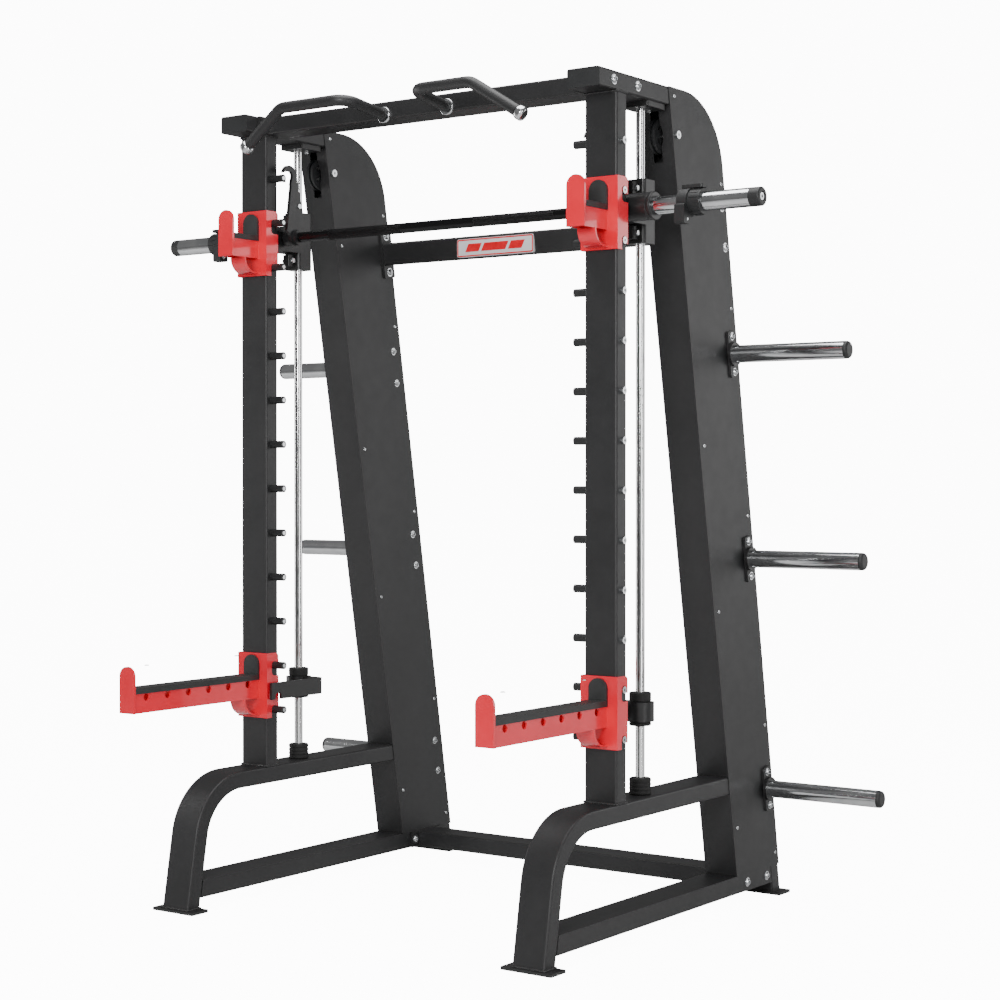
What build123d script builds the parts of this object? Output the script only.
"""Smith machine: a guided barbell on a steel rack, with counterweights in two leaning towers.

Own frame: +Z up, millimetres, X across the machine, Y from the user's side towards the towers.
Depths in this file are measured from the front face of the uprights; every piece is moved by
half of the machine's depth when it is written, so that the origin is under its middle.
"""
import os
from math import atan2, cos, degrees, hypot, radians, sin, tan

from build123d import *

os.makedirs("parts", exist_ok=True)

# --- driving dimensions -------------------------------------------------------------------
HEIGHT = 2300.0
FRAME_X = 611.0             # centre plane of each side frame
TUBE_W = 100.0              # main tube, wide way (X)
TUBE_D = 50.0               # main tube, narrow way
WALL = 3.0
CLEAR = 0.3                 # air between pieces that move past each other

RAIL_Z = 380.0              # top of the raised front rail
BASE_Z = 88.0               # top of the base rail
TOP_Z = HEIGHT - TUBE_D     # underside of the top rail
TOP_FRONT_Y = -82.0
TOP_BEND_R = 193.0          # centre-line radius of the rear bend
LEG_BEND_R = 168.0
LEG_FOOT_Y = -337.0         # front of the leg at the floor
LEG_LEAN = 9.8
FRONT_LEAN = 10.0           # lean of the tower's front post
REAR_LEAN = 9.7             # lean of the tower's rear post
FRONT_FOOT_Y = 664.8        # front post, front face, produced to the floor
REAR_FOOT_Y = 922.0         # rear post, rear face, produced to the floor
FOOT_T = 8.0
SHEET = 2.0                 # tower side covers
AXLE_R = 6.0

ROD_Y = 200.0
ROD_R = 12.5
PIN_Y = 25.0
PIN_R = 11.0
PIN_PITCH = 131.0
PIN_COUNT = 13
PIN_FIRST_Z = 550.0
PIN_TIP_X = 515.0

BAR_Y = 104.0
BAR_Z = 1955.0
BAR_HALF = 1034.0
SHAFT_R = 15.0
SLEEVE_R = 25.0
HOOK_X = 535.0
HOOK_BACK = 14.9            # turn of the bar that takes the hooks off the pins, in degrees

PEG_R = 25.0
PEG_HEIGHTS = (1590.0, 1003.0, 322.0)
PEG_END_X = 1034.0

PULLEY_Y = 304.0
PULLEY_Z = 2173.0
PULLEY_R = 50.0

LIP_HALF = 28.0
ARM_HALF = 25.0
CUP_REACH = 122.0
ARM_REACH = 522.0
GRIP_HEIGHT = 192.0         # red sleeve block that grips the upright

REAR_END_Y = 937.0
MID_Y = (REAR_END_Y - ARM_REACH) / 2
SIDES = (("left", -1), ("right", 1))
PIN_HEIGHTS = [PIN_FIRST_Z + PIN_PITCH * k for k in range(PIN_COUNT)]


def front_y(z):
    """Front face of the tower's front post at height z."""
    return FRONT_FOOT_Y - tan(radians(FRONT_LEAN)) * z


def rear_y(z):
    """Rear face of the tower's rear post at height z."""
    return REAR_FOOT_Y - tan(radians(REAR_LEAN)) * z


def write_piece(piece, name):
    """Move a finished piece to the machine's own origin, label it and write it."""
    placed = piece.part.moved(Location((0, -MID_Y, 0)))
    placed.label = name
    export_step(placed, f"parts/{name}.step")


def both_sides(piece):
    """Add the mirror image of a right-hand piece, still as separate solids."""
    with BuildPart() as pair:
        add(piece.part)
        mirror(piece.part, about=Plane.YZ)
    return pair


def bent_tube(points, radius):
    """A 100 x 50 tube with rounded corners along a path in the side view, at FRAME_X."""
    with BuildPart() as tube:
        with BuildLine(Plane.YZ.offset(FRAME_X)) as path:
            FilletPolyline(*points, radius=radius)
        start = Plane(origin=path.wire() @ 0, x_dir=(1, 0, 0), z_dir=path.wire() % 0)
        with BuildSketch(start):
            RectangleRounded(TUBE_W, TUBE_D, 6)
            RectangleRounded(TUBE_W - 2 * WALL, TUBE_D - 2 * WALL, 3, mode=Mode.SUBTRACT)
        sweep(transition=Transition.ROUND)
    return tube


def side_prism(points, x_from, x_to):
    """A straight-sided profile drawn in the side view, between two X planes."""
    with BuildPart() as prism:
        with BuildSketch(Plane.YZ.offset(x_from)):
            with BuildLine():
                Polyline(*points, close=True)
            make_face()
        extrude(amount=x_to - x_from)
    return prism


def cross_bolts(places, head_r, head_t):
    """Domed bolt heads whose bases lie at places, each looking outwards along the given X sign."""
    with BuildPart() as heads:
        for x, y, z, sign in places:
            with BuildSketch(Plane(origin=(x, y, z), z_dir=(sign, 0, 0))):
                RegularPolygon(head_r, 6)
            extrude(amount=head_t * 0.55)
            with BuildSketch(Plane(origin=(x + sign * head_t * 0.55, y, z), z_dir=(sign, 0, 0))):
                Circle(head_r * 0.8)
            extrude(amount=head_t * 0.45)
    return heads


# --- side frames --------------------------------------------------------------------------
# Base rail: from the back of the front leg to the front of the rear post.
leg_tan = tan(radians(LEG_LEAN))
leg_back = LEG_FOOT_Y + TUBE_D / cos(radians(LEG_LEAN))
rear_front = REAR_FOOT_Y - TUBE_D / cos(radians(REAR_LEAN))
rear_tan = tan(radians(REAR_LEAN))
BASE_BOTTOM = BASE_Z - TUBE_D


def base_profile(inset):
    """Side outline of the base rail, inset from its top and bottom."""
    low = BASE_BOTTOM + inset
    high = BASE_Z - inset
    return (
        (leg_back + leg_tan * low, low),
        (rear_front - rear_tan * low, low),
        (rear_front - rear_tan * high, high),
        (leg_back + leg_tan * high, high),
    )


outer_rail = side_prism(base_profile(0), FRAME_X - TUBE_W / 2, FRAME_X + TUBE_W / 2)
rail_bore = side_prism(base_profile(WALL), FRAME_X - TUBE_W / 2 + WALL, FRAME_X + TUBE_W / 2 - WALL)
with BuildPart() as base_rail:
    add(outer_rail.part)
    add(rail_bore.part, mode=Mode.SUBTRACT)
write_piece(both_sides(base_rail), "base_rails")

# Front leg: leans back, bends level and runs to the tower as the rail that carries the upright.
leg_mid = LEG_FOOT_Y + TUBE_D / 2 / cos(radians(LEG_LEAN))
rail_mid_z = RAIL_Z - TUBE_D / 2
leg_points = (
    (leg_mid - leg_tan * TUBE_D, -TUBE_D),
    (leg_mid + leg_tan * rail_mid_z, rail_mid_z),
    (front_y(0), rail_mid_z),
)
leg_tube = bent_tube(leg_points, LEG_BEND_R)
post_face = Plane(
    origin=(0, front_y(0), 0),
    x_dir=(1, 0, 0),
    z_dir=(0, cos(radians(FRONT_LEAN)), sin(radians(FRONT_LEAN))),
)
with BuildPart() as leg_rail:
    add(leg_tube.part)
    split(bisect_by=Plane.XY.offset(FOOT_T), keep=Keep.TOP)
    split(bisect_by=post_face, keep=Keep.BOTTOM)
write_piece(both_sides(leg_rail), "leg_rails")

# Top rail: level over the upright, round the rear bend and down to the rear foot.
top_mid_z = HEIGHT - TUBE_D / 2
rear_mid = REAR_FOOT_Y - TUBE_D / 2 / cos(radians(REAR_LEAN))
top_points = (
    (TOP_FRONT_Y, top_mid_z),
    (rear_mid - rear_tan * top_mid_z, top_mid_z),
    (rear_mid + rear_tan * TUBE_D, -TUBE_D),
)
top_tube = bent_tube(top_points, TOP_BEND_R)
with BuildPart() as rear_frame:
    add(top_tube.part)
    split(bisect_by=Plane.XY.offset(FOOT_T), keep=Keep.TOP)
write_piece(both_sides(rear_frame), "rear_frames")

# Plastic plug in the open front end of the top rail.
with BuildPart() as rail_plug:
    with BuildSketch(Plane.XZ.offset(-TOP_FRONT_Y)):
        with Locations((FRAME_X, top_mid_z)):
            RectangleRounded(TUBE_W, TUBE_D, 6)
    extrude(amount=3)
    with BuildSketch(Plane.XZ.offset(-TOP_FRONT_Y)):
        with Locations((FRAME_X, top_mid_z)):
            RectangleRounded(TUBE_W - 2 * WALL - 1, TUBE_D - 2 * WALL - 1, 4)
    extrude(amount=-20)
write_piece(both_sides(rail_plug), "rail_plugs")

# Upright: square-cut tube between the raised rail and the top rail, drilled for every pin.
BOLT_HOLE_R = 6.3
with BuildPart() as upright:
    with BuildSketch(Plane.XY.offset(RAIL_Z)):
        with Locations((FRAME_X, TUBE_D / 2)):
            RectangleRounded(TUBE_W, TUBE_D, 6)
            RectangleRounded(TUBE_W - 2 * WALL, TUBE_D - 2 * WALL, 3, mode=Mode.SUBTRACT)
    extrude(amount=TOP_Z - RAIL_Z)
    with BuildSketch(Plane.YZ.offset(FRAME_X - TUBE_W)):
        with Locations(*[(PIN_Y, z) for z in PIN_HEIGHTS]):
            Circle(BOLT_HOLE_R)
    extrude(amount=2 * TUBE_W, mode=Mode.SUBTRACT)
write_piece(both_sides(upright), "uprights")

# Front post of the tower, open at the pulley.
post_depth = TUBE_D / cos(radians(FRONT_LEAN))
SLOT_LOW = 2101.0
SLOT_HIGH = 2240.0


def post_profile(inset):
    """Side outline of the front post, inset from its front and rear faces."""
    return (
        (front_y(BASE_Z) + inset, BASE_Z),
        (front_y(BASE_Z) + post_depth - inset, BASE_Z),
        (front_y(TOP_Z) + post_depth - inset, TOP_Z),
        (front_y(TOP_Z) + inset, TOP_Z),
    )


post_skin = side_prism(post_profile(0), FRAME_X - TUBE_W / 2, FRAME_X + TUBE_W / 2)
post_bore = side_prism(post_profile(WALL), FRAME_X - TUBE_W / 2 + WALL, FRAME_X + TUBE_W / 2 - WALL)
with BuildPart() as front_post:
    add(post_skin.part)
    add(post_bore.part, mode=Mode.SUBTRACT)
    with BuildSketch(Plane.XZ.offset(-front_y(TOP_Z) + TUBE_D)):
        with Locations((FRAME_X, (SLOT_LOW + SLOT_HIGH) / 2)):
            Rectangle(28, SLOT_HIGH - SLOT_LOW)
        with Locations((FRAME_X, PULLEY_Z)):
            Ellipse(22, 38)
    extrude(amount=-4 * TUBE_D, mode=Mode.SUBTRACT)
    with BuildSketch(Plane.YZ.offset(FRAME_X - TUBE_W)):
        with Locations((PULLEY_Y, PULLEY_Z)):
            Circle(AXLE_R + 0.1)
    extrude(amount=2 * TUBE_W, mode=Mode.SUBTRACT)
write_piece(both_sides(front_post), "front_posts")

# Sheet covers that close each tower on its inner and outer side.
bend_outer = TOP_BEND_R + TUBE_D / 2
corner_y = rear_y(HEIGHT)
bend_reach = bend_outer * tan(radians((90 - REAR_LEAN) / 2))
bend_start = (corner_y - bend_reach, HEIGHT)
bend_end = (corner_y + bend_reach * sin(radians(REAR_LEAN)), HEIGHT - bend_reach * cos(radians(REAR_LEAN)))
with BuildPart() as cover_pair:
    for x_sheet in (FRAME_X - TUBE_W / 2 - SHEET, FRAME_X + TUBE_W / 2):
        with BuildSketch(Plane.YZ.offset(x_sheet)):
            with BuildLine():
                Line((front_y(BASE_Z), BASE_Z), (front_y(HEIGHT), HEIGHT))
                Line((front_y(HEIGHT), HEIGHT), bend_start)
                RadiusArc(bend_start, bend_end, bend_outer)
                Line(bend_end, (rear_y(BASE_Z), BASE_Z))
                Line((rear_y(BASE_Z), BASE_Z), (front_y(BASE_Z), BASE_Z))
            make_face()
            with Locations((PULLEY_Y, PULLEY_Z)):
                Circle(AXLE_R + 0.1, mode=Mode.SUBTRACT)
        extrude(amount=SHEET)
write_piece(both_sides(cover_pair), "tower_covers")

# Small screws that hold the covers to the two posts, on both faces of each tower.
front_mid = post_depth / 2
SCREW_HEIGHTS_FRONT = (229.0, 858.0, 1326.0, 1954.0, 2276.0)
SCREW_HEIGHTS_REAR = (125.0, 510.0, 1127.0, 1720.0, 2067.0)
screw_places = [(front_y(z) + front_mid, z) for z in SCREW_HEIGHTS_FRONT]
screw_places += [(rear_y(z) - TUBE_D / 2 + 5, z) for z in SCREW_HEIGHTS_REAR]
with BuildPart() as cover_screws:
    for x_face, sign in ((FRAME_X + TUBE_W / 2 + SHEET, 1), (FRAME_X - TUBE_W / 2 - SHEET, -1)):
        for y, z in screw_places:
            with BuildSketch(Plane(origin=(x_face, y, z), z_dir=(sign, 0, 0))):
                Circle(5)
            extrude(amount=2.6, taper=35)
write_piece(both_sides(cover_screws), "cover_screws")

# Foot plates: a wide one under each front leg, a narrow one under each rear post.
with BuildPart() as foot_plates:
    with BuildSketch(Plane.XY):
        with Locations((FRAME_X, -313)):
            RectangleRounded(156, 68, 4)
        with Locations((FRAME_X, REAR_END_Y - 35)):
            RectangleRounded(150, 70, 4)
    extrude(amount=FOOT_T)
write_piece(both_sides(foot_plates), "foot_plates")

# --- cross members ------------------------------------------------------------------------
FLANGE_T = 8.0
FLANGE_LONG = 162.0
BOLT_SPREAD = 118.0
beam_half = FRAME_X - TUBE_W / 2 - FLANGE_T


def flanged_beam(centre_y, bottom_z):
    """100 x 50 tube lying flat across the machine, with a plate on each end."""
    with BuildPart() as beam:
        with BuildSketch(Plane.YZ.offset(-beam_half)):
            with Locations((centre_y, bottom_z + TUBE_D / 2)):
                RectangleRounded(TUBE_W, TUBE_D, 6)
                RectangleRounded(TUBE_W - 2 * WALL, TUBE_D - 2 * WALL, 3, mode=Mode.SUBTRACT)
        extrude(amount=2 * beam_half)
        for x_plate in (-beam_half - FLANGE_T, beam_half):
            with BuildSketch(Plane.YZ.offset(x_plate)):
                with Locations((centre_y, bottom_z + TUBE_D / 2)):
                    Rectangle(FLANGE_LONG, TUBE_D)
            extrude(amount=FLANGE_T)
    return beam


TOP_BEAM_Y = 45.0
LOW_BEAM_Y = 774.0
write_piece(flanged_beam(TOP_BEAM_Y, TOP_Z), "top_crossbeam")
write_piece(flanged_beam(LOW_BEAM_Y, BASE_BOTTOM), "lower_crossbeam")

# Rear upper beam between the towers, square to the leaning rear posts.
BADGE_Z = 1947.0
BADGE_BEAM_H = 70.0
badge_y = rear_y(BADGE_Z) - TUBE_D / 2 / cos(radians(REAR_LEAN))
badge_half = FRAME_X - TUBE_W / 2 - SHEET - FLANGE_T
lean_vector = (0, cos(radians(REAR_LEAN)), sin(radians(REAR_LEAN)))


def lean_plane(x):
    """Side-view plane at x, centred on the rear beam and leaning with the rear post."""
    return Plane(origin=(x, badge_y, BADGE_Z), x_dir=lean_vector, z_dir=(1, 0, 0))


with BuildPart() as badge_beam:
    with BuildSketch(lean_plane(-badge_half)):
        RectangleRounded(TUBE_D - 6, BADGE_BEAM_H, 6)
        RectangleRounded(TUBE_D - 6 - 2 * WALL, BADGE_BEAM_H - 2 * WALL, 3, mode=Mode.SUBTRACT)
    extrude(amount=2 * badge_half)
    for x_plate in (-badge_half - FLANGE_T, badge_half):
        with BuildSketch(lean_plane(x_plate)):
            RectangleRounded(TUBE_D, 150, 5)
        extrude(amount=FLANGE_T)
write_piece(badge_beam, "badge_beam")

# Plain name plate on the front of that beam.
PLATE_X = -113.0
beam_front = Plane(
    origin=(PLATE_X, badge_y, BADGE_Z),
    x_dir=(1, 0, 0),
    z_dir=(0, -lean_vector[1], -lean_vector[2]),
)
with BuildPart() as name_plate:
    with BuildSketch(beam_front.offset(TUBE_D / 2 - 3)):
        RectangleRounded(285, 56, 3)
    extrude(amount=3)
    fillet(name_plate.faces().sort_by(Axis.Y)[0].edges(), radius=0.8)
write_piece(name_plate, "name_plate")

# Bolts of the three beams, outside and inside the side frames.
bolt_places = []
for sign in (1, -1):
    outer_x = sign * (FRAME_X + TUBE_W / 2)
    inner_x = sign * (FRAME_X - TUBE_W / 2 - FLANGE_T)
    for shift in (-BOLT_SPREAD / 2, BOLT_SPREAD / 2):
        for beam_y, beam_z in ((TOP_BEAM_Y, top_mid_z), (LOW_BEAM_Y, BASE_Z - TUBE_D / 2)):
            bolt_places.append((outer_x, beam_y + shift, beam_z, sign))
            bolt_places.append((inner_x, beam_y + shift * 1.1, beam_z, -sign))
    for along in (-57, 57):
        bolt_y = badge_y - along * sin(radians(REAR_LEAN))
        bolt_z = BADGE_Z + along * cos(radians(REAR_LEAN))
        bolt_places.append((inner_x - sign * SHEET, bolt_y, bolt_z, -sign))
        bolt_places.append((outer_x + sign * SHEET, bolt_y, bolt_z, sign))
write_piece(cross_bolts(bolt_places, 10, 8), "beam_bolts")

# --- pull-up handles ----------------------------------------------------------------------
HANDLE_R = 16.0
beam_front_y = TOP_BEAM_Y - TUBE_W / 2
RING_T = 6.0
handle_points = (
    (111, beam_front_y - RING_T, 2262),
    (117, -167, 2284),
    (331, -195, 2277),
    (466, -176, 2190),
)
with BuildPart() as handle:
    with BuildLine() as handle_path:
        FilletPolyline(*handle_points, radius=48)
    with BuildSketch(Plane(origin=handle_path.wire() @ 0, z_dir=handle_path.wire() % 0)):
        Circle(HANDLE_R)
    sweep(transition=Transition.ROUND)
    split(bisect_by=Plane.XZ.offset(-beam_front_y + RING_T), keep=Keep.TOP)
write_piece(both_sides(handle), "pull_up_handles")

with BuildPart() as handle_ring:
    with BuildSketch(Plane.XZ.offset(-beam_front_y)):
        with Locations((111, 2262)):
            Circle(23)
    extrude(amount=RING_T)
    fillet(handle_ring.faces().sort_by(Axis.Y)[0].edges(), radius=2.5)
write_piece(both_sides(handle_ring), "handle_rings")

handle_end = handle_path.wire() @ 1
handle_aim = handle_path.wire() % 1
with BuildPart() as handle_plug:
    with BuildSketch(Plane(origin=handle_end, z_dir=handle_aim)):
        Circle(20)
    extrude(amount=26)
    fillet(handle_plug.edges().filter_by(GeomType.CIRCLE), radius=9)
write_piece(both_sides(handle_plug), "handle_plugs")

# --- guide rods and what is on them -------------------------------------------------------
BRACKET_T = 15.0
BRACKET_HOLE = ROD_R + 0.1
with BuildPart() as guide_rod:
    with BuildSketch(Plane.XY.offset(RAIL_Z)):
        with Locations((FRAME_X, ROD_Y)):
            Circle(ROD_R)
    extrude(amount=TOP_Z - RAIL_Z)
write_piece(both_sides(guide_rod), "guide_rods")

with BuildPart() as rod_bracket:
    with BuildSketch(Plane.XY.offset(TOP_Z - BRACKET_T)):
        with Locations((FRAME_X, ROD_Y + 14)):
            RectangleRounded(84, 92, 5)
        with Locations((FRAME_X, ROD_Y)):
            Circle(BRACKET_HOLE, mode=Mode.SUBTRACT)
    extrude(amount=BRACKET_T)
write_piece(both_sides(rod_bracket), "rod_brackets")

with BuildPart() as rod_nut:
    with BuildSketch(Plane.XY.offset(TOP_Z - BRACKET_T)):
        with Locations((FRAME_X, ROD_Y + 38)):
            RegularPolygon(9, 6)
    extrude(amount=-7)
write_piece(both_sides(rod_nut), "rod_nuts")

BUMPER_R = 30.0
with BuildPart() as bumper:
    with BuildSketch(Plane.XY.offset(RAIL_Z)):
        with Locations((FRAME_X, ROD_Y)):
            Circle(BUMPER_R)
            Circle(BRACKET_HOLE, mode=Mode.SUBTRACT)
    extrude(amount=45)
    fillet(bumper.faces().sort_by(Axis.Z)[-1].outer_wire().edges(), radius=3)
write_piece(both_sides(bumper), "rubber_bumpers")

# --- rack pins ----------------------------------------------------------------------------
BOLT_R = 6.0
pin_spots = [(PIN_Y, z) for z in PIN_HEIGHTS]
with BuildPart() as rack_pins:
    with BuildSketch(Plane.YZ.offset(PIN_TIP_X)):
        with Locations(*pin_spots):
            Circle(PIN_R)
            Circle(BOLT_R + 0.2, mode=Mode.SUBTRACT)
    extrude(amount=FRAME_X - TUBE_W / 2 - PIN_TIP_X)
write_piece(both_sides(rack_pins), "rack_pins")

with BuildPart() as pin_bolts:
    with BuildSketch(Plane.YZ.offset(PIN_TIP_X - 1)):
        with Locations(*pin_spots):
            Circle(BOLT_R)
    extrude(amount=FRAME_X + TUBE_W / 2 - PIN_TIP_X + 1)
    with BuildSketch(Plane.YZ.offset(FRAME_X + TUBE_W / 2)):
        with Locations(*pin_spots):
            Circle(9.5)
    extrude(amount=10)
    with BuildSketch(Plane.YZ.offset(FRAME_X + TUBE_W / 2 + 14)):
        with Locations(*pin_spots):
            RegularPolygon(4, 6)
    extrude(amount=-9, mode=Mode.SUBTRACT)
write_piece(both_sides(pin_bolts), "pin_bolts")

# --- weight storage pegs ------------------------------------------------------------------
PEG_BACK = 40.0             # peg axis in front of the rear post's rear face
PEG_FLANGE_T = 7.0
PEG_SHOULDER = 0.5          # how far the tube is turned down where its collar sits
COLLAR_T = 9.0
CAP_T = 12.0
face_x = FRAME_X + TUBE_W / 2 + SHEET
peg_spots = [(rear_y(z) - PEG_BACK, z) for z in PEG_HEIGHTS]
with BuildPart() as storage_pegs:
    with BuildSketch(Plane.YZ.offset(face_x + PEG_FLANGE_T)):
        with Locations(*peg_spots):
            Circle(PEG_R)
            Circle(PEG_R - 3, mode=Mode.SUBTRACT)
    extrude(amount=PEG_END_X - CAP_T - face_x - PEG_FLANGE_T)
    with BuildSketch(Plane.YZ.offset(face_x + PEG_FLANGE_T)):
        with Locations(*peg_spots):
            Circle(PEG_R + 1)
            Circle(PEG_R - PEG_SHOULDER, mode=Mode.SUBTRACT)
    extrude(amount=COLLAR_T, mode=Mode.SUBTRACT)
write_piece(both_sides(storage_pegs), "storage_pegs")

with BuildPart() as peg_flanges:
    for y, z in peg_spots:
        with BuildSketch(Plane.YZ.offset(face_x)):
            with Locations(Location((y, z), REAR_LEAN)):
                RectangleRounded(42, 132, 8)
        extrude(amount=PEG_FLANGE_T)
write_piece(both_sides(peg_flanges), "peg_flanges")

with BuildPart() as peg_collars:
    with BuildSketch(Plane.YZ.offset(face_x + PEG_FLANGE_T)):
        with Locations(*peg_spots):
            Circle(PEG_R + 9)
            Circle(PEG_R - PEG_SHOULDER + 0.1, mode=Mode.SUBTRACT)
    extrude(amount=COLLAR_T)
write_piece(both_sides(peg_collars), "peg_collars")

with BuildPart() as peg_caps:
    with BuildSketch(Plane.YZ.offset(PEG_END_X - CAP_T)):
        with Locations(*peg_spots):
            Circle(PEG_R - 0.3)
    extrude(amount=CAP_T)
    fillet(peg_caps.faces().filter_by(Plane.YZ).group_by(Axis.X)[-1].edges(), radius=8)
write_piece(both_sides(peg_caps), "peg_caps")

peg_bolt_places = []
for y, z in peg_spots:
    for along in (-51, 51):
        bolt_y = y - along * sin(radians(REAR_LEAN))
        bolt_z = z + along * cos(radians(REAR_LEAN))
        peg_bolt_places.append((face_x + PEG_FLANGE_T, bolt_y, bolt_z, 1))
        peg_bolt_places.append((FRAME_X - TUBE_W / 2 - SHEET, bolt_y, bolt_z, -1))
write_piece(both_sides(cross_bolts(peg_bolt_places, 9, 8)), "peg_bolts")

# --- counterweights inside the towers -----------------------------------------------------
WEIGHT_START_Z = 280.0
WEIGHT_LONG = 250.0
WEIGHT_GUIDE_R = 8.0
inner_gap_mid = (FRONT_FOOT_Y + post_depth + rear_front) / 2
weight_tan = (tan(radians(FRONT_LEAN)) + rear_tan) / 2
weight_y = inner_gap_mid - weight_tan * WEIGHT_START_Z
weight_axis = Vector(0, -weight_tan, 1).normalized()


def weight_plane(x, along):
    """Plane square to the tower's lean, at a distance along it from the resting weight."""
    centre = Vector(x, weight_y, WEIGHT_START_Z) + weight_axis * along
    return Plane(origin=centre, x_dir=(1, 0, 0), z_dir=weight_axis)


with BuildPart() as pulley_axle:
    with BuildSketch(Plane.YZ.offset(FRAME_X - TUBE_W / 2 - SHEET)):
        with Locations((PULLEY_Y, PULLEY_Z)):
            Circle(AXLE_R)
    extrude(amount=TUBE_W + 2 * SHEET)
    for x_face, sign in ((FRAME_X + TUBE_W / 2 + SHEET, 1), (FRAME_X - TUBE_W / 2 - SHEET, -1)):
        with BuildSketch(Plane(origin=(x_face, PULLEY_Y, PULLEY_Z), z_dir=(sign, 0, 0))):
            Circle(11)
        extrude(amount=7)
        with BuildSketch(Plane(origin=(x_face + sign * 7, PULLEY_Y, PULLEY_Z), z_dir=(sign, 0, 0))):
            RegularPolygon(4.5, 6)
        extrude(amount=-4, mode=Mode.SUBTRACT)
write_piece(both_sides(pulley_axle), "pulley_axles")

with BuildPart() as weight_guides:
    for offset_y in (-42, 42):
        with BuildSketch(weight_plane(FRAME_X, -210)):
            with Locations((0, offset_y)):
                Circle(WEIGHT_GUIDE_R)
        extrude(amount=1720)
    split(bisect_by=Plane.XY.offset(BASE_Z), keep=Keep.TOP)
write_piece(both_sides(weight_guides), "weight_guides")

for side, s in SIDES:
    with BuildPart() as pulley:
        with BuildSketch(Plane.YZ.offset(s * FRAME_X)):
            with Locations((PULLEY_Y, PULLEY_Z)):
                Circle(PULLEY_R)
                Circle(AXLE_R + 0.05, mode=Mode.SUBTRACT)
        extrude(amount=11, both=True)
        with BuildSketch(Plane.YZ.offset(s * FRAME_X)):
            with Locations((PULLEY_Y, PULLEY_Z)):
                Circle(PULLEY_R + 1)
                Circle(PULLEY_R - 6, mode=Mode.SUBTRACT)
        extrude(amount=4, both=True, mode=Mode.SUBTRACT)
        with BuildSketch(Plane.YZ.offset(s * FRAME_X)):
            with Locations((PULLEY_Y, PULLEY_Z)):
                with PolarLocations(28, 5):
                    Circle(7)
        extrude(amount=12, both=True, mode=Mode.SUBTRACT)
    write_piece(pulley, f"pulley_{side}")

    with BuildPart() as weight:
        with BuildSketch(weight_plane(s * FRAME_X, -WEIGHT_LONG / 2)):
            RectangleRounded(80, 130, 8)
            with Locations((0, -42), (0, 42)):
                Circle(WEIGHT_GUIDE_R + CLEAR, mode=Mode.SUBTRACT)
        extrude(amount=WEIGHT_LONG)
        with BuildSketch(weight_plane(s * FRAME_X, WEIGHT_LONG / 2)):
            Rectangle(12, 36)
        extrude(amount=24)
        with BuildSketch(Plane.YZ.offset(s * FRAME_X - 20)):
            eye = Vector(0, weight_y, WEIGHT_START_Z) + weight_axis * (WEIGHT_LONG / 2 + 12)
            with Locations((eye.Y, eye.Z)):
                Circle(6)
        extrude(amount=40, mode=Mode.SUBTRACT)
    write_piece(weight, f"counterweight_{side}")

# --- carriages on the guide rods ----------------------------------------------------------
BLOCK = 62.0
BLOCK_LONG = 172.0
BUSH_R = 20.0
HUB_R = 37.0
HUB_OUT = 95.0              # hub's outer end, from the frame's centre plane
block_low = BAR_Z - BLOCK_LONG / 2
block_high = BAR_Z + BLOCK_LONG / 2
with BuildPart() as carriage:
    with BuildSketch(Plane.XY.offset(block_low)):
        with Locations((FRAME_X, ROD_Y)):
            RectangleRounded(BLOCK, BLOCK, 10)
    extrude(amount=BLOCK_LONG)
    with BuildSketch(Plane.YZ.offset(FRAME_X - BLOCK / 2)):
        with Locations((BAR_Y, BAR_Z)):
            Circle(HUB_R)
        with Locations(((BAR_Y + ROD_Y) / 2, BAR_Z)):
            Rectangle(ROD_Y - BAR_Y, 2 * HUB_R)
    extrude(amount=BLOCK)
    with BuildSketch(Plane.YZ.offset(FRAME_X)):
        with Locations((BAR_Y, BAR_Z)):
            Circle(HUB_R)
    extrude(amount=HUB_OUT)
    for z_ear in (block_low + 26, block_high - 26):
        with BuildSketch(Plane.XY.offset(z_ear - 17)):
            with Locations((FRAME_X, ROD_Y - BLOCK / 2 - 12)):
                RectangleRounded(26, 28, 6)
        extrude(amount=34)
    with BuildSketch(Plane.XY.offset(block_low)):
        with Locations((FRAME_X, ROD_Y)):
            Circle(BUSH_R)
    extrude(amount=BLOCK_LONG, mode=Mode.SUBTRACT)
    with BuildSketch(Plane.YZ.offset(FRAME_X - BLOCK)):
        with Locations((BAR_Y, BAR_Z)):
            Circle(SHAFT_R + 0.06)
    extrude(amount=3 * BLOCK, mode=Mode.SUBTRACT)
    chamfer(carriage.faces().sort_by(Axis.X)[-1].outer_wire().edges(), length=3)
write_piece(both_sides(carriage), "carriages")

with BuildPart() as bushings:
    for z_from in (block_low, block_high - 60):
        with BuildSketch(Plane.XY.offset(z_from)):
            with Locations((FRAME_X, ROD_Y)):
                Circle(BUSH_R)
                Circle(ROD_R + 0.06, mode=Mode.SUBTRACT)
        extrude(amount=60)
write_piece(both_sides(bushings), "linear_bushings")

ear_bolts = []
for z_ear in (block_low + 26, block_high - 26):
    ear_bolts.append((FRAME_X + 13, ROD_Y - BLOCK / 2 - 12, z_ear, 1))
    ear_bolts.append((FRAME_X - 13, ROD_Y - BLOCK / 2 - 12, z_ear, -1))
write_piece(both_sides(cross_bolts(ear_bolts, 8, 7)), "carriage_bolts")

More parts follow.
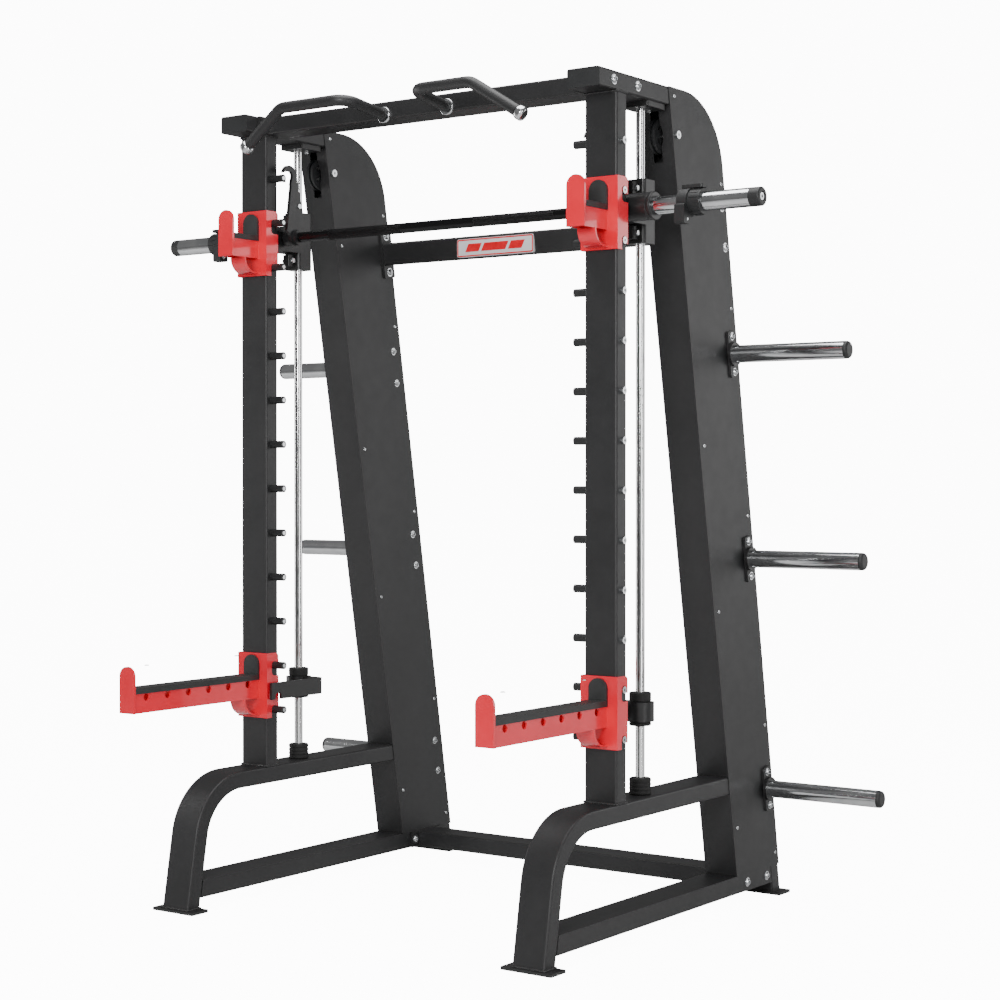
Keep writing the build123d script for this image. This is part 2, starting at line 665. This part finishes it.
# --- the bar and what turns with it -------------------------------------------------------
STOP_RING_X = 706.5         # inner end of the stop ring outside the hub
STOP_RING_T = 11.0
SLEEVE_START_X = 718.0
SLEEVE_END_X = 1003.0
CAP_RECESS = 10.0
with BuildPart() as bar_shaft:
    with BuildSketch(Plane.YZ.offset(-SLEEVE_END_X + 0.3)):
        with Locations((BAR_Y, BAR_Z)):
            Circle(SHAFT_R)
    extrude(amount=2 * SLEEVE_END_X - 0.6)
write_piece(bar_shaft, "bar_shaft")

with BuildPart() as stop_ring:
    with BuildSketch(Plane.YZ.offset(STOP_RING_X)):
        with Locations((BAR_Y, BAR_Z)):
            Circle(38)
            Circle(SHAFT_R + 0.03, mode=Mode.SUBTRACT)
    extrude(amount=STOP_RING_T)
    fillet(stop_ring.edges().filter_by(GeomType.CIRCLE).group_by(SortBy.RADIUS)[-1], radius=3)
write_piece(both_sides(stop_ring), "stop_rings")

# Rack hooks, drawn hooked on the top pins and then turned back off them. The beak's underside
# follows a circle about the bar, so that a turn of the bar alone carries it over the pin.
turn = radians(HOOK_BACK)
pin_rise = PIN_HEIGHTS[-1] - BAR_Z
pin_reach = PIN_Y - BAR_Y
JAW = 12.5
pin_swing = hypot(pin_reach, pin_rise)
hooked_angle = degrees(atan2(pin_rise, pin_reach))
BEAK_SPAN = 30.0            # sweep of the beak's clear underside, in degrees
HOOK_T = 10.0
hook_plane = Plane(
    origin=(HOOK_X - HOOK_T / 2, BAR_Y, BAR_Z),
    x_dir=(0, cos(turn), -sin(turn)),
    z_dir=(1, 0, 0),
)
with BuildPart() as hook:
    with BuildSketch(hook_plane):
        with Locations((pin_reach, pin_rise)):
            Circle(JAW + 17)
        with Locations((pin_reach - JAW - 8.5, pin_rise - 7)):
            Rectangle(17, 14)
        with BuildLine():
            Polyline(
                (pin_reach + JAW, pin_rise - 8),
                (-48, 6),
                (0, -20),
                (30, 14),
                (20, 56),
                (pin_reach + JAW + 15, pin_rise + 8),
                close=True,
            )
        make_face()
        Circle(30)
        with Locations((pin_reach, pin_rise)):
            Circle(JAW, mode=Mode.SUBTRACT)
        with Locations((pin_reach, pin_rise - 30)):
            Rectangle(2 * JAW, 60, mode=Mode.SUBTRACT)
        with BuildLine():
            far_arc = CenterArc((0, 0), pin_swing + JAW, hooked_angle, BEAK_SPAN)
            near_arc = CenterArc((0, 0), pin_swing - JAW, hooked_angle, BEAK_SPAN)
            Line(far_arc @ 0, near_arc @ 0)
            Line(far_arc @ 1, near_arc @ 1)
        make_face(mode=Mode.SUBTRACT)
        Circle(SHAFT_R, mode=Mode.SUBTRACT)
    extrude(amount=HOOK_T)
    with BuildSketch(Plane.YZ.offset(HOOK_X + HOOK_T / 2)):
        with Locations((BAR_Y, BAR_Z)):
            Circle(23)
            Circle(SHAFT_R, mode=Mode.SUBTRACT)
    extrude(amount=30)
    with BuildSketch(Plane.YZ.offset(HOOK_X - HOOK_T / 2)):
        with Locations((BAR_Y, BAR_Z)):
            Circle(23)
            Circle(SHAFT_R, mode=Mode.SUBTRACT)
    extrude(amount=-12)
write_piece(both_sides(hook), "rack_hooks")

with BuildPart() as hook_screw:
    with BuildSketch(hook_plane):
        with Locations((-18, 92)):
            Circle(7)
    extrude(amount=-5)
write_piece(both_sides(hook_screw), "hook_screws")

with BuildPart() as bar_cap:
    with BuildSketch(Plane.YZ.offset(SLEEVE_END_X)):
        with Locations((BAR_Y, BAR_Z)):
            Circle(SLEEVE_R)
    extrude(amount=BAR_HALF - SLEEVE_END_X)
    fillet(bar_cap.faces().sort_by(Axis.X)[-1].edges(), radius=5)
    with BuildSketch(Plane.YZ.offset(BAR_HALF)):
        with Locations((BAR_Y, BAR_Z)):
            Circle(13)
    extrude(amount=-CAP_RECESS, mode=Mode.SUBTRACT)
write_piece(both_sides(bar_cap), "bar_end_caps")

with BuildPart() as cap_bolt:
    with BuildSketch(Plane.YZ.offset(BAR_HALF - CAP_RECESS)):
        with Locations((BAR_Y, BAR_Z)):
            Circle(10)
    extrude(amount=8)
    with BuildSketch(Plane.YZ.offset(BAR_HALF - CAP_RECESS + 8)):
        with Locations((BAR_Y, BAR_Z)):
            RegularPolygon(5, 6)
    extrude(amount=-5, mode=Mode.SUBTRACT)
write_piece(both_sides(cap_bolt), "bar_end_bolts")

# --- sleeves, clamps, cups, spotter arms and bottom stops, one set for each side ----------
STOP_LOW_Z = 567.0
STOP_LONG = 90.0
STOP_ARM_X = 541.0
GRIP_T = 7.0
GRIP_GAP = 0.6
grip_in = TUBE_W / 2 + GRIP_GAP
grip_out = grip_in + GRIP_T
GRIP_BACK_Y = 43.5
LIFT = 20.0                 # lift that frees a cup or an arm from its pins
SEAT_R = PIN_R + CLEAR


def grip_block(side, low_pin_z, low_z):
    """Three-sided sleeve round the upright, hung on two pins by slots open to the rear."""
    s = side
    with BuildPart() as grip:
        with BuildSketch(Plane.XY.offset(low_z)):
            with Locations((s * FRAME_X, (GRIP_BACK_Y - GRIP_T - GRIP_GAP) / 2)):
                Rectangle(2 * grip_out, GRIP_BACK_Y + GRIP_T + GRIP_GAP)
            with Locations((s * FRAME_X, GRIP_BACK_Y / 2 - GRIP_GAP / 2 + 5)):
                Rectangle(2 * grip_in, GRIP_BACK_Y + GRIP_GAP + 10, mode=Mode.SUBTRACT)
        extrude(amount=GRIP_HEIGHT)
        with BuildSketch(Plane.YZ.offset(s * FRAME_X - TUBE_W)):
            for pin_z in (low_pin_z, low_pin_z + PIN_PITCH):
                with Locations((PIN_Y, pin_z)):
                    Circle(SEAT_R)
                with Locations((PIN_Y, pin_z - LIFT)):
                    Circle(SEAT_R)
                with Locations((PIN_Y, pin_z - LIFT / 2)):
                    Rectangle(2 * SEAT_R, LIFT)
                with Locations((PIN_Y + 15, pin_z - LIFT)):
                    Rectangle(30, 2 * SEAT_R)
        extrude(amount=2 * TUBE_W, mode=Mode.SUBTRACT)
        rear_top = grip.edges().filter_by(Axis.X).group_by(Axis.Z)[-1].group_by(Axis.Y)[-1]
        fillet(rear_top, radius=12)
    return grip


def carrier(side, low_pin_z, reach, arm_low, arm_high, lip_low, lip_high, gusset_r):
    """Red bracket: grip block, channel arm, round-topped end lip and a curved gusset below."""
    s = side
    low_z = low_pin_z - 25
    face_y = -GRIP_T - GRIP_GAP
    grip = grip_block(s, low_pin_z, low_z)
    with BuildPart() as bracket:
        add(grip.part)
        with BuildSketch(Plane.XZ.offset(reach - 8)):
            with Locations((s * FRAME_X, (arm_low + arm_high) / 2)):
                Rectangle(2 * ARM_HALF, arm_high - arm_low)
            with Locations((s * FRAME_X, (arm_low + arm_high) / 2 - 5)):
                Rectangle(2 * ARM_HALF - 10, arm_high - arm_low, mode=Mode.SUBTRACT)
        extrude(amount=-(reach - 8 + face_y))
        with BuildSketch(Plane.XZ.offset(reach - 8)):
            with Locations((s * FRAME_X, (lip_low + lip_high - LIP_HALF) / 2)):
                Rectangle(2 * LIP_HALF, lip_high - LIP_HALF - lip_low)
            with Locations((s * FRAME_X, lip_high - LIP_HALF)):
                Circle(LIP_HALF)
        extrude(amount=8)
        with BuildSketch(Plane.YZ.offset(s * FRAME_X - LIP_HALF)):
            with Locations((face_y - 17, arm_low)):
                Circle(gusset_r)
                Circle(gusset_r - 5, mode=Mode.SUBTRACT)
                with Locations((0, gusset_r)):
                    Rectangle(3 * gusset_r, 2 * gusset_r, mode=Mode.SUBTRACT)
                with Locations((gusset_r, 0)):
                    Rectangle(2 * gusset_r, 3 * gusset_r, mode=Mode.SUBTRACT)
            with Locations((face_y - 8.5, arm_low - gusset_r + 2.5)):
                Rectangle(17.2, 5)
        extrude(amount=2 * LIP_HALF)
    return bracket


def liner(side, reach, floor_z, top_z, skirt):
    """Black wear liner: a cap over the arm with a round-topped upright pad against the grip."""
    s = side
    face_y = -GRIP_T - GRIP_GAP
    with BuildPart() as pad:
        with BuildSketch(Plane.XZ.offset(reach - 8)):
            with Locations((s * FRAME_X, floor_z + (9 - skirt) / 2)):
                Rectangle(2 * LIP_HALF, 9 + skirt)
            with Locations((s * FRAME_X, floor_z - skirt / 2)):
                Rectangle(2 * ARM_HALF, skirt, mode=Mode.SUBTRACT)
        extrude(amount=-(reach - 8 + face_y))
        with BuildSketch(Plane.XZ.offset(-face_y)):
            with Locations((s * FRAME_X, (floor_z + top_z - LIP_HALF) / 2)):
                Rectangle(2 * LIP_HALF, top_z - LIP_HALF - floor_z)
            with Locations((s * FRAME_X, top_z - LIP_HALF)):
                Circle(LIP_HALF)
        extrude(amount=8)
    return pad


CUP_PIN_Z = PIN_HEIGHTS[-3]
CUP_LOW = CUP_PIN_Z + 26
CUP_FLOOR = CUP_PIN_Z + 84
CUP_TOP = CUP_PIN_Z + 160
SPOT_PIN_Z = PIN_HEIGHTS[0]
SPOT_LOW = SPOT_PIN_Z + 33.5
SPOT_FLOOR = SPOT_PIN_Z + 95
SPOT_TOP = SPOT_PIN_Z + 164
ARM_HOLE_PITCH = 83.0
ARM_HOLE_COUNT = 6
for side, s in SIDES:
    with BuildPart() as sleeve:
        with BuildSketch(Plane.YZ.offset(s * SLEEVE_START_X)):
            with Locations((BAR_Y, BAR_Z)):
                Circle(SLEEVE_R)
                Circle(SHAFT_R + 0.06, mode=Mode.SUBTRACT)
        extrude(amount=s * (SLEEVE_END_X - SLEEVE_START_X - 0.3))
    write_piece(sleeve, f"sleeve_{side}")

    clamp_start = s * 800.0
    with BuildPart() as clamp:
        with BuildSketch(Plane.YZ.offset(clamp_start)):
            with Locations((BAR_Y, BAR_Z)):
                Circle(38)
                Circle(SLEEVE_R + 0.08, mode=Mode.SUBTRACT)
            with Locations((BAR_Y - 30, BAR_Z - 32)):
                RectangleRounded(34, 52, 6)
            with Locations((BAR_Y, BAR_Z)):
                Circle(SLEEVE_R + 0.08, mode=Mode.SUBTRACT)
        extrude(amount=s * 30)
        with BuildSketch(Plane.YZ.offset(clamp_start + s * 30)):
            with Locations((BAR_Y, BAR_Z)):
                Circle(34)
                Circle(SLEEVE_R + 0.08, mode=Mode.SUBTRACT)
        extrude(amount=s * 34)
        with BuildSketch(Plane.XY.offset(BAR_Z + 36)):
            with Locations((clamp_start + s * 34, BAR_Y)):
                RectangleRounded(62, 30, 5)
        extrude(amount=9)
    write_piece(clamp, f"clamp_{side}")

    cup = carrier(s, CUP_PIN_Z, CUP_REACH, CUP_LOW, CUP_FLOOR, CUP_LOW, CUP_TOP, 45)
    write_piece(cup, f"bar_cup_{side}")
    write_piece(liner(s, CUP_REACH, CUP_FLOOR, CUP_TOP - 2, 6), f"cup_liner_{side}")

    arm = carrier(s, SPOT_PIN_Z, ARM_REACH, SPOT_LOW, SPOT_FLOOR, SPOT_LOW, SPOT_TOP, 50)
    with BuildPart() as drilled_arm:
        add(arm.part)
        with BuildSketch(Plane.YZ.offset(s * FRAME_X - TUBE_W)):
            with Locations(*[(-55 - ARM_HOLE_PITCH * k, SPOT_FLOOR - 17) for k in range(ARM_HOLE_COUNT)]):
                Circle(11)
        extrude(amount=2 * TUBE_W, mode=Mode.SUBTRACT)
    write_piece(drilled_arm, f"spotter_arm_{side}")
    write_piece(liner(s, ARM_REACH, SPOT_FLOOR, SPOT_TOP - 2, 7), f"arm_liner_{side}")

    with BuildPart() as stop_collar:
        with BuildSketch(Plane.XY.offset(STOP_LOW_Z)):
            with Locations((s * FRAME_X, ROD_Y)):
                Circle(BUMPER_R)
                Circle(ROD_R + 0.06, mode=Mode.SUBTRACT)
        extrude(amount=STOP_LONG)
        with BuildSketch(Plane.XY.offset(STOP_LOW_Z + 9)):
            with Locations((s * FRAME_X, ROD_Y)):
                Circle(BUMPER_R + 1)
                Circle(BUMPER_R - 3, mode=Mode.SUBTRACT)
        extrude(amount=58, mode=Mode.SUBTRACT)
    write_piece(stop_collar, f"stop_collar_{side}")

    with BuildPart() as stop_hook:
        with BuildSketch(Plane.XY.offset(STOP_LOW_Z + 12)):
            with Locations((s * FRAME_X, ROD_Y)):
                Circle(BUMPER_R + 8)
            with Locations((s * (FRAME_X - 43), ROD_Y)):
                Rectangle(54, 34)
            with Locations((s * FRAME_X, ROD_Y)):
                Circle(BUMPER_R - 3 + 0.06, mode=Mode.SUBTRACT)
        extrude(amount=52)
        with BuildSketch(Plane.YZ.offset(s * (STOP_ARM_X + 4))):
            with Locations(((222 - 5) / 2, 605)):
                Rectangle(227, 50)
            with Locations((PIN_Y, 588)):
                Circle(13, mode=Mode.SUBTRACT)
            with Locations((PIN_Y, 575)):
                Rectangle(26, 26, mode=Mode.SUBTRACT)
        extrude(amount=-s * 8)
    write_piece(stop_hook, f"stop_hook_{side}")
